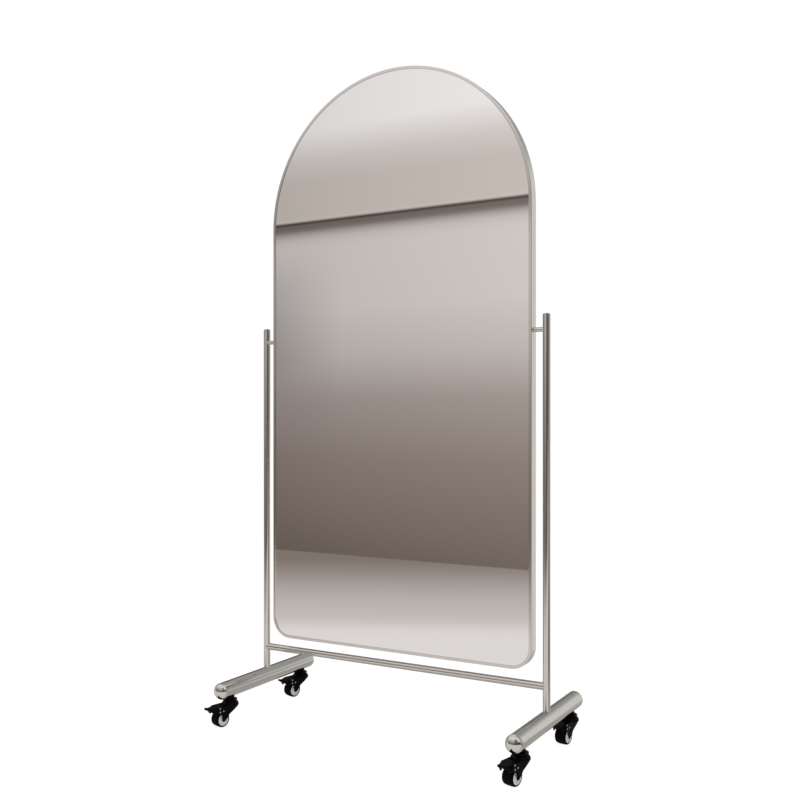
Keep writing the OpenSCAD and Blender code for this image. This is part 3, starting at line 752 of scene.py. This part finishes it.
def caster_place(caster):
    """Place of a caster: on the floor under its stem, X along its axle and -Y ahead of it"""
    joints = {joint["name"]: joint for joint in frame["joints"]}
    stem = joints[f"{caster}_caster_swivel"]["pos_m"]
    axle = Vector(joints[f"{caster}_wheel_roll"]["axis"])
    up = Vector((0, 0, 1))
    behind = up.cross(axle)
    place = Matrix((axle, behind, up)).transposed().to_4x4()
    place.translation = (stem[0], stem[1], 0)
    return place


def spots_of(node, place):
    """Points of a CAD node in the axes of a place"""
    back = place.inverted()
    return [back @ vertex.co for vertex in frame["nodes"][node].data.vertices]


def softened(node, place, sizes, passes):
    """A copy of a pressed or moulded CAD node, in the axes of a place, with its edges rounded"""
    kept_faces = 0.3
    bm = bmesh.new()
    bm.from_mesh(frame["nodes"][node].data)
    bm.transform(place.inverted())
    bmesh.ops.remove_doubles(bm, verts=bm.verts, dist=WELD)
    piece = add_object(f"{node}_soft", mesh_from(f"{node}_soft", bm))
    add_modifier(piece, "REMESH", mode="VOXEL", voxel_size=sizes.remesh)
    add_modifier(piece, "SMOOTH", iterations=passes, factor=0.5)
    add_modifier(piece, "DECIMATE", ratio=kept_faces)
    apply_modifiers(piece)
    made = piece.data
    bpy.data.objects.remove(piece)
    return made


def build_forks_and_pedals(sizes):
    """Forks and brake pedals: one shape of each, shared by the four casters"""
    kinds = (
        ("fork", 6, "coat", "swivel", "black_coated_steel"),
        ("brake_pedal", 5, "plastic", "brake", "black_plastic"),
    )
    for kind, passes, finish, body, slot in kinds:
        mesh = softened(f"{CASTERS[0]}_{kind}", caster_place(CASTERS[0]), sizes, passes)
        for caster in CASTERS:
            add_mesh(
                f"{caster}_{kind}_shape", mesh, [finish], f"{caster}_{body}", f"{caster}_{kind}", slot,
                caster_place(caster), sharp=60,
            )


def build_wheel(caster):
    """A tyre with a crowned tread, and the hub that fills it"""
    place = caster_place(caster)
    low, high = corners_of(spots_of(f"{caster}_tyre", place))
    hub_low, hub_high = corners_of(spots_of(f"{caster}_hub", place))
    axle = place @ Matrix.Translation((low + high) / 2) @ Matrix.Rotation(math.pi / 2, 4, "Y")
    radius = (high.z - low.z) / 2
    half = (high.x - low.x) / 2
    bore = (hub_high.z - hub_low.z) / 2
    shoulder = radius - bore
    crown = 0.4 * MM
    crown_edge = 12
    flat = 0.3 * half
    fit = bore + 0.05 * MM
    inner = half - 0.4 * MM
    tyre = arc((radius - crown - shoulder, half - shoulder), shoulder, 90, crown_edge, steps=8)
    tyre += [(radius, flat), (radius, -flat)]
    tyre += arc((radius - crown - shoulder, shoulder - half), shoulder, -crown_edge, -90, steps=8)
    tyre += [(fit, -inner), (fit, inner)]
    bm = bmesh.new()
    turn_profile(bm, tyre, segments=128, closed=True)
    add_piece(
        f"{caster}_tread", bm, ["rubber"], f"{caster}_wheel", f"{caster}_tyre", "black_tyre", axle, sharp=40
    )
    build_hub(caster, axle, bore, half - 0.8 * MM, (hub_high.x - hub_low.x) / 2)


def build_hub(caster, axle, bore, face, boss_half):
    """One hub: its ring stands proud of a dished web, with a boss that reaches to the fork"""
    web = face - 4 * MM
    boss_r = 6.5 * MM
    hole = 3.05 * MM
    ring = bore - 3 * MM
    bevel = 0.4 * MM
    side = [
        (bore, face - bevel), (bore - bevel, face), (ring + bevel, face), (ring, face - bevel),
        (ring - 0.5 * MM, web + 0.6 * MM), (ring - 1.2 * MM, web), (boss_r + 1 * MM, web),
        (boss_r + 0.2 * MM, web + 0.7 * MM), (boss_r, boss_half - 0.3 * MM), (boss_r - 0.3 * MM, boss_half),
        (hole + 0.2 * MM, boss_half), (hole, boss_half - 0.2 * MM),
    ]
    bm = bmesh.new()
    turn_profile(bm, side + mirrored(side), segments=96, closed=True)
    add_piece(
        f"{caster}_hub_shape", bm, ["hub"], f"{caster}_wheel", f"{caster}_hub", "light_grey_nylon", axle
    )


def domed_head(radius, start, top):
    """Profile of a rivet head that stands on a surface at a start height"""
    return [(radius, start)] + dome(radius, start + 0.25 * (top - start), top, steps=6)


def leg_face(caster, place):
    """How far out the fork's two legs stand, beside the wheel and below the wider hood"""
    top = corners_of(spots_of(f"{caster}_axle", place))[1].z
    return max(spot.x for spot in spots_of(f"{caster}_fork", place) if spot.z < top)


def build_axle(caster):
    """One axle with a dark domed head on each side"""
    place = caster_place(caster)
    low, high = corners_of(spots_of(f"{caster}_axle", place))
    outside = leg_face(caster, place)
    shaft_r = 3 * MM
    side = [(shaft_r, outside)] + domed_head((high.z - low.z) / 2, outside, high.x)
    bm = bmesh.new()
    turn_profile(bm, mirrored(side) + side, segments=48, place=Matrix.Rotation(math.pi / 2, 4, "Y"))
    turn = place @ Matrix.Translation((low + high) / 2)
    add_piece(
        f"{caster}_axle_pin", bm, ["coat"], f"{caster}_swivel", f"{caster}_axle", "black_coated_steel", turn
    )


def build_rivets(caster):
    """The pedal's cross pin and the four rivets, from the places of their CAD heads"""
    place = caster_place(caster)
    spots = spots_of(f"{caster}_fork_pins", place)
    end = max(spot.x for spot in spots)
    outside = leg_face(caster, place)
    shaft_r = 1.5 * MM
    bm = bmesh.new()
    for low, high in gather([spot for spot in spots if spot.x >= end - ON_FACE], reach=5 * MM):
        middle = (low + high) / 2
        profile = [(0, 0), (shaft_r, 0), (shaft_r, outside)] + domed_head((high.z - low.z) / 2, outside, end)
        for side in (-1, 1):
            turn = Matrix.Translation((0, middle.y, middle.z)) @ Matrix.Rotation(side * math.pi / 2, 4, "Y")
            turn_profile(bm, profile, segments=32, place=turn)
    add_piece(
        f"{caster}_rivets", bm, ["zinc"], f"{caster}_swivel", f"{caster}_fork_pins", "zinc_steel", place
    )


# Studio

def add_lamp(name, place, size, power):
    """A soft area lamp that shines on the object and isn't seen in the metal or the glass"""
    aim = Vector((0, 0, 0.9))
    data = bpy.data.lights.new(name, "AREA")
    data.shape = "RECTANGLE"
    data.size = size[0]
    data.size_y = size[1]
    data.energy = power
    lamp = add_object(name, data)
    lamp.location = place
    lamp.rotation_euler = (aim - Vector(place)).to_track_quat("-Z", "Y").to_euler()
    lamp.visible_glossy = False


def build_camera(studio):
    """Camera at the photograph's viewing angle"""
    data = bpy.data.cameras.new("camera")
    data.lens = studio.lens
    data.sensor_width = 36
    data.shift_y = studio.shift
    data.clip_start = 0.01
    camera = add_object("camera", data)
    camera.location = (studio.camera_x, -studio.camera_back, studio.camera_z)
    camera.rotation_euler = (math.pi / 2, 0, studio.camera_turn)
    bpy.context.scene.camera = camera


def point_parts(tree, space):
    """X, Y and Z of the point that is shaded"""
    coordinates = add_node(tree, "ShaderNodeTexCoord")
    return add_node(tree, "ShaderNodeSeparateXYZ", {0: coordinates.outputs[space]}).outputs


def graded(tree, measure, stops):
    """Tone of each place along a measure, blended between stops of a place and a grey or a colour"""
    first = stops[0][0]
    last = stops[-1][0]
    along = add_node(tree, "ShaderNodeMapRange", {"Value": measure, "From Min": first, "From Max": last})
    blend = add_node(tree, "ShaderNodeValToRGB", {"Fac": along})
    elements = blend.color_ramp.elements
    elements.remove(elements[-1])
    for index, (place, tone) in enumerate(stops):
        share = (place - first) / (last - first)
        element = elements.new(share) if index else elements[0]
        element.position = share
        element.color = (tone, tone, tone, 1) if isinstance(tone, float) else (*tone[:3], 1)
    return blend


def blend_colours(first, second, share):
    """A colour part of the way from one colour to another"""
    return [a + (b - a) * share for a, b in zip(first, second)]


def stage_material(name):
    """An empty material for the floor or the reflected room"""
    material = bpy.data.materials.new(name)
    material.use_nodes = True
    tree = material.node_tree
    tree.nodes.clear()
    return material, tree


def flat_sheet(name, corners, material):
    """A flat stage sheet through four corners"""
    bm = bmesh.new()
    bm.faces.new([bm.verts.new(corner) for corner in corners])
    mesh = mesh_from(name, bm)
    mesh.materials.append(material)
    sheet = add_object(name, mesh)
    return sheet


def build_floor(studio):
    """White studio floor that keeps a soft shadow. The metal and the glass see it as a glowing sheet with
    painted shade:
    greyer with distance, darker under the stand, and darkest in a wedge that opens to the right of the right
    post."""
    material, tree = stage_material("studio_floor")
    x, y, _ = point_parts(tree, "Object")
    white_level = 1.12
    matt_share = 0.2
    white = add_node(tree, "ShaderNodeEmission", {"Color": (1, 1, 1, 1), "Strength": white_level})
    matt = add_node(tree, "ShaderNodeBsdfDiffuse", {"Color": (*studio.floor, 1)})
    seen = add_node(tree, "ShaderNodeMixShader", {0: matt_share, 1: white, 2: matt})
    slant = 0.5
    slanted = add_node(tree, "ShaderNodeMath", {0: x, 1: slant, 2: y}, operation="MULTIPLY_ADD")
    # Painted shade: the floor grows greyer with distance, and paler towards the right by the slant. Places
    # are in metres, and shares go from the tone of the far floor to that of the near one.
    distances = (
        (-3.6, 0.0), (-3.1, 0.13), (-2.46, 0.39), (-2.13, 0.53), (-1.75, 0.64), (-1.6, 0.74), (-1.5, 0.87),
        (-1.4, 0.96), (-1.2, 1.0),
    )
    tone = graded(tree, slanted, [
        (place, blend_colours(studio.floor_far, studio.floor_near, share)) for place, share in distances
    ])
    # Painted shade under the stand, in the floor that the metal sees, fading out in front of it and behind
    # it.
    depths = ((-0.3, 0.0), (-0.25, 0.16), (-0.15, 0.84), (-0.1, 1.0), (0.35, 1.0), (0.9, 0.0))
    under = graded(tree, y, [(place, 1 + (studio.floor_shade - 1) * share) for place, share in depths])
    # Painted shade in a wedge that opens to the right of the right post, which darkens the post's right rim.
    from_post = add_node(tree, "ShaderNodeMath", {0: x, 1: POST_X}, operation="SUBTRACT")
    turn = add_node(tree, "ShaderNodeMath", {0: y, 1: from_post}, operation="ARCTAN2")
    degrees = ((-35, 0.0), (-22, 1.0), (50, 1.0), (60, 0.0))
    wedge = graded(tree, turn, [(math.radians(angle), share) for angle, share in degrees])
    wedge_start = 0.9
    wedge_full = 1.3
    away = add_node(
        tree, "ShaderNodeMapRange",
        {"Value": x, "From Min": wedge_start, "From Max": wedge_full, "To Max": studio.wedge_shade - 1},
    )
    beside = add_node(tree, "ShaderNodeMath", {0: away, 1: wedge, 2: 1.0}, operation="MULTIPLY_ADD")
    strength = add_node(tree, "ShaderNodeMath", {0: under, 1: beside}, operation="MULTIPLY")
    shown = add_node(tree, "ShaderNodeEmission", {"Color": tone, "Strength": strength})
    path = add_node(tree, "ShaderNodeLightPath")
    mixed = add_node(tree, "ShaderNodeMixShader", {0: path.outputs["Is Glossy Ray"], 1: seen, 2: shown})
    add_node(tree, "ShaderNodeOutputMaterial", {0: mixed})
    reach = 30.0
    corners = [(-reach, -reach, 0), (reach, -reach, 0), (reach, reach, 0), (-reach, reach, 0)]
    flat_sheet("studio_floor", corners, material)


def build_reflected_wall(studio):
    """Plain wall with a soffit above it: a glowing sheet seen only in glossy surfaces, with the room's light
    and shade painted on it.
    It is painted darker to the right, and with a soft painted shadow at the left end."""
    material, tree = stage_material("reflected_wall")
    left = -3.6
    right = 3.4
    top = 4.2
    line = studio.soffit_height
    x, _, z = point_parts(tree, "Object")
    # A painted shadow line lies just below the soffit's edge, and a painted highlight runs just above it.
    dark = [0.3 * part for part in studio.soffit_edge]
    bright = [1.25 * part for part in studio.soffit]
    # The wall is painted paler from the floor up towards the soffit.
    stops = [(0.0, studio.wall_low), (0.6, studio.wall_middle)]
    for height, share in ((0.97, 0.25), (1.26, 0.7), (1.55, 0.97), (1.87, 1.0)):
        stops.append((height, blend_colours(studio.wall_middle, studio.wall_high, share)))
    # The shade under the soffit fades downwards, over these millimetres below its edge.
    for below, share in ((172, 1.0), (130, 0.92), (105, 0.8), (84, 0.57), (63, 0.28), (48, 0.0), (9.2, 0.0)):
        stops.append((line - below * MM, blend_colours(studio.soffit_edge, studio.wall_high, share)))
    stops += [
        (line - 7.1 * MM, dark), (line - 0.4 * MM, dark),
        (line + 0.8 * MM, bright), (line + 8.4 * MM, bright),
        (line + 12.6 * MM, studio.soffit), (2.35, studio.soffit),
        (2.48, blend_colours(studio.soffit, studio.ceiling, 0.25)),
        (2.68, studio.ceiling), (top, studio.ceiling),
    ]
    tone = graded(tree, z, stops)
    # Painted shade: the wall darkens towards both ends, most towards the right.
    brightest = 1.1
    levels = ((-2.6, 0.86), (-0.6, brightest), (0.3, brightest), (0.7, 0.75), (1.3, 0.35), (right, 0.3))
    share = graded(tree, x, [(place, level / brightest) for place, level in levels])
    # A painted soft shadow on the wall's left end, deepest between 1.25 and 1.5 m up.
    shadow_start = -2.0
    shadow_full = -2.55
    aside = add_node(
        tree, "ShaderNodeMapRange",
        {"Value": x, "From Min": shadow_start, "From Max": shadow_full, "To Max": studio.wall_shade - 1},
    )
    depths = graded(tree, z, ((0.3, 0.1), (0.97, 0.3), (1.25, 1.0), (1.5, 1.0), (1.69, 0.75), (1.95, 0.1)))
    shadow = add_node(tree, "ShaderNodeMath", {0: aside, 1: depths, 2: 1.0}, operation="MULTIPLY_ADD")
    lit = add_node(tree, "ShaderNodeMath", {0: share, 1: shadow}, operation="MULTIPLY")
    strength = add_node(tree, "ShaderNodeMath", {0: lit, 1: brightest}, operation="MULTIPLY")
    shown = add_node(tree, "ShaderNodeEmission", {"Color": tone, "Strength": strength})
    add_node(tree, "ShaderNodeOutputMaterial", {0: shown})
    y = -studio.wall_distance
    corners = [(left, y, 0), (right, y, 0), (right, y, top), (left, y, top)]
    wall = flat_sheet("reflected_wall", corners, material)
    wall.visible_camera = False
    wall.visible_diffuse = False
    wall.visible_shadow = False


def room_tone(tree):
    """Painted greys of a plain room all round the mirror, seen only in glossy surfaces, which give the
    polished and brushed metal its bands
    """
    x, y, z = point_parts(tree, "Generated")
    ahead = add_node(tree, "ShaderNodeMath", {0: y, 1: -1.0}, operation="MULTIPLY")
    turn = add_node(tree, "ShaderNodeMath", {0: x, 1: ahead}, operation="ARCTAN2")
    # Places are shares of a turn, from behind the mirror by its left, front and right sides.
    greys = (
        (0.0, 0.4), (0.05, 0.25), (0.1, 0.06), (0.19, 0.06), (0.23, 0.45), (0.27, 0.62), (0.33, 0.3),
        (0.46, 0.2), (0.55, 0.12), (0.62, 0.06), (0.70, 0.08), (0.76, 0.42), (0.82, 0.5), (0.89, 0.42),
        (0.915, 0.8), (0.96, 0.76), (1.0, 0.4),
    )
    warm = (1.0, 0.985, 0.96)
    level = graded(tree, turn, [
        ((2 * place - 1) * math.pi, [grey * part for part in warm]) for place, grey in greys
    ])
    above = add_node(
        tree, "ShaderNodeMapRange",
        {"Value": y, "From Min": -0.3, "From Max": 0.5, "To Min": 0.9, "To Max": 0.4},
        interpolation_type="SMOOTHSTEP",
    )
    rise = add_node(
        tree, "ShaderNodeMapRange", {"Value": z, "From Min": 0.3, "From Max": 0.55},
        interpolation_type="SMOOTHSTEP",
    )
    mix = add_node(
        tree, "ShaderNodeMix", {MIX_SHARE: rise, MIX_FIRST: level, MIX_SECOND: above}, data_type="RGBA"
    )
    return mix.outputs[MIX_RESULT]


def build_world():
    """White background for the camera, and an even pale light on the object"""
    world = bpy.data.worlds.new("studio_world")
    bpy.context.scene.world = world
    world.use_nodes = True
    tree = world.node_tree
    tree.nodes.clear()
    path = add_node(tree, "ShaderNodeLightPath")
    white = add_node(tree, "ShaderNodeBackground", {"Color": (1, 1, 1, 1), "Strength": 1.0})
    light_level = 0.55
    light = add_node(tree, "ShaderNodeBackground", {"Color": (1, 1, 1, 1), "Strength": light_level})
    room = add_node(tree, "ShaderNodeBackground", {"Color": room_tone(tree), "Strength": 1.0})
    lit = add_node(tree, "ShaderNodeMixShader", {0: path.outputs["Is Glossy Ray"], 1: light, 2: room})
    seen = add_node(tree, "ShaderNodeMixShader", {0: path.outputs["Is Camera Ray"], 1: lit, 2: white})
    add_node(tree, "ShaderNodeOutputWorld", {0: seen})


# Operators

class MIRROR_OT_finishes(Operator):
    """Make the finishes and give them to the CAD parts that stay in view"""

    bl_idname = "rolling_mirror.finishes"
    bl_label = "Finishes"

    def execute(self, context):
        make_finishes(context.scene.mirror_colours)
        plain = {
            "steel_x": ["cross_rail", "left_pivot_pin", "right_pivot_pin"],
            "steel_y": ["left_foot_tube", "right_foot_tube"],
            "steel_z": ["left_post", "right_post"],
            "chrome": [
                "left_front_cap", "left_rear_cap", "right_front_cap", "right_rear_cap",
                "left_post_cap", "right_post_cap",
            ],
            "zinc": [
                "post_plugs", "post_bolts", "saddle_washers", "caster_weld_nuts", "caster_stems",
                "swivel_balls", "frame_joiner", "left_pivot_block", "right_pivot_block",
            ],
            "coat": ["caster_collars", "caster_race_cups"],
            "tape": ["glass_tape"],
            "board": ["back_board"],
            "nylon": ["left_pivot_bush", "right_pivot_bush"],
        }
        plain["zinc"] += [f"{caster}_brake_plate" for caster in CASTERS]
        for finish, nodes in plain.items():
            for node in nodes:
                finish_node(node, finish)
        return {"FINISHED"}


class MIRROR_OT_panel(Operator):
    """Build the frame, the silvered pane and the frame screws"""

    bl_idname = "rolling_mirror.panel"
    bl_label = "Mirror panel"

    def execute(self, context):
        sizes = context.scene.mirror_sizes
        build_frame(sizes)
        build_glass(sizes)
        build_screws(sizes)
        return {"FINISHED"}


class MIRROR_OT_forks(Operator):
    """Build the pressed forks and the moulded brake pedals"""

    bl_idname = "rolling_mirror.forks"
    bl_label = "Forks and pedals"

    def execute(self, context):
        build_forks_and_pedals(context.scene.mirror_sizes)
        return {"FINISHED"}


class MIRROR_OT_wheels(Operator):
    """Build the tyres and hubs"""

    bl_idname = "rolling_mirror.wheels"
    bl_label = "Wheels"

    def execute(self, context):
        for caster in CASTERS:
            build_wheel(caster)
        return {"FINISHED"}


class MIRROR_OT_pins(Operator):
    """Build the axles, pedal pins and rivets"""

    bl_idname = "rolling_mirror.pins"
    bl_label = "Axles and rivets"

    def execute(self, context):
        for caster in CASTERS:
            build_axle(caster)
            build_rivets(caster)
        return {"FINISHED"}


class MIRROR_OT_studio(Operator):
    """Build the camera, the lamps, the floor and the plain room that the glass shows"""

    bl_idname = "rolling_mirror.studio"
    bl_label = "Studio"

    def execute(self, context):
        studio = context.scene.mirror_studio
        build_camera(studio)
        build_world()
        build_floor(studio)
        build_reflected_wall(studio)
        add_lamp("key_lamp", (-2.6, -2.6, 3.2), (2.4, 1.6), 60)
        add_lamp("fill_lamp", (3.2, -1.6, 2.4), (2.0, 2.0), 40)
        add_lamp("rear_lamp", (0.5, 3.0, 3.0), (2.4, 1.6), 40)
        context.scene.view_settings.view_transform = "Standard"
        return {"FINISHED"}


class MIRROR_PT_sidebar(Panel):
    """Lists the steps that build the mirror"""

    bl_idname = "MIRROR_PT_sidebar"
    bl_label = "Rolling mirror"
    bl_space_type = "VIEW_3D"
    bl_region_type = "UI"
    bl_category = "Mirror"

    def draw(self, context):
        for step in OPERATORS:
            self.layout.operator(step.bl_idname)
        for group in ("mirror_sizes", "mirror_colours", "mirror_studio"):
            settings = getattr(context.scene, group)
            box = self.layout.box()
            for name in settings.__annotations__:
                box.prop(settings, name)


GROUPS = {"mirror_sizes": MirrorSizes, "mirror_colours": MirrorColours, "mirror_studio": StudioSettings}
OPERATORS = (
    MIRROR_OT_finishes, MIRROR_OT_panel, MIRROR_OT_forks, MIRROR_OT_wheels, MIRROR_OT_pins, MIRROR_OT_studio,
)


def register():
    for name, group in GROUPS.items():
        bpy.utils.register_class(group)
        setattr(bpy.types.Scene, name, PointerProperty(type=group))
    for item in (*OPERATORS, MIRROR_PT_sidebar):
        bpy.utils.register_class(item)


def unregister():
    for item in (MIRROR_PT_sidebar, *reversed(OPERATORS)):
        bpy.utils.unregister_class(item)
    for name, group in GROUPS.items():
        delattr(bpy.types.Scene, name)
        bpy.utils.unregister_class(group)


def main():
    register()
    bpy.ops.rolling_mirror.finishes()
    bpy.ops.rolling_mirror.panel()
    bpy.ops.rolling_mirror.forks()
    bpy.ops.rolling_mirror.wheels()
    bpy.ops.rolling_mirror.pins()
    bpy.ops.rolling_mirror.studio()


if __name__ == "__main__":
    main()
